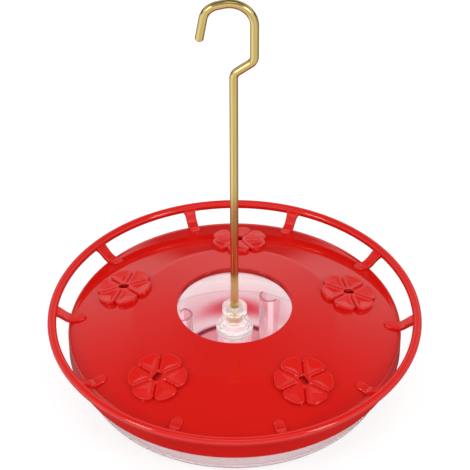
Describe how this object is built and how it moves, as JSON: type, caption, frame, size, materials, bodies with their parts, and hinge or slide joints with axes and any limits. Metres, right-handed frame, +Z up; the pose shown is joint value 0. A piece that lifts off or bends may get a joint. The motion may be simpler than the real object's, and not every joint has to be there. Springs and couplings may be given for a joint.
{
  "type": "saucer hummingbird feeder",
  "caption": "Hanging saucer feeder: clear nectar bowl with an ant moat, conical red cover with flower ports, perch ring, and a swivelling brass hook rod.",
  "frame": {"origin": "centre of the bowl's base, on the plane it stands on", "axes": "+Z up the hanger rod, +X towards the hook's upright leg, +Y away from the viewer"},
  "size_m": [0.211, 0.211, 0.2458],
  "materials": {
    "clear_bowl_plastic": "clear moulded polycarbonate, glossy",
    "clear_hub_plastic": "clear moulded plastic, glossy",
    "red_cover_plastic": "red injection moulded plastic, glossy",
    "red_perch_plastic": "red injection moulded plastic, glossy",
    "red_port_plastic": "red injection moulded plastic, satin gloss",
    "soft_silicone": "soft translucent red silicone",
    "nylon": "natural nylon",
    "brass": "drawn brass, bright"
  },
  "bodies": {
    "reservoir": {"bowl": "clear_bowl_plastic", "moat_cup": "clear_bowl_plastic", "hub_plug": "clear_hub_plastic", "hub_seal": "soft_silicone", "swivel_cap": "clear_hub_plastic"},
    "hanger": {"hanger_rod": "brass", "rod_nut": "brass", "thrust_washer": "nylon"},
    "cover_set": {"cover": "red_cover_plastic", "perch_ring": "red_perch_plastic", "flower_port_1": "red_port_plastic", "flower_port_2": "red_port_plastic", "flower_port_3": "red_port_plastic", "flower_port_4": "red_port_plastic", "flower_port_5": "red_port_plastic", "nectar_guard_1": "soft_silicone", "nectar_guard_2": "soft_silicone", "nectar_guard_3": "soft_silicone", "nectar_guard_4": "soft_silicone", "nectar_guard_5": "soft_silicone"}
  },
  "joints": [
    {"name": "hanger_swivel", "type": "hinge", "parent": "reservoir", "child": "hanger", "pos_m": [0, 0, 0.04375], "axis": [0, 0, 1], "continuous": true},
    {"name": "cover_lift", "type": "slide", "parent": "reservoir", "child": "cover_set", "axis": [0, 0, 1], "range_m": [0, 0.235]}
  ]
}
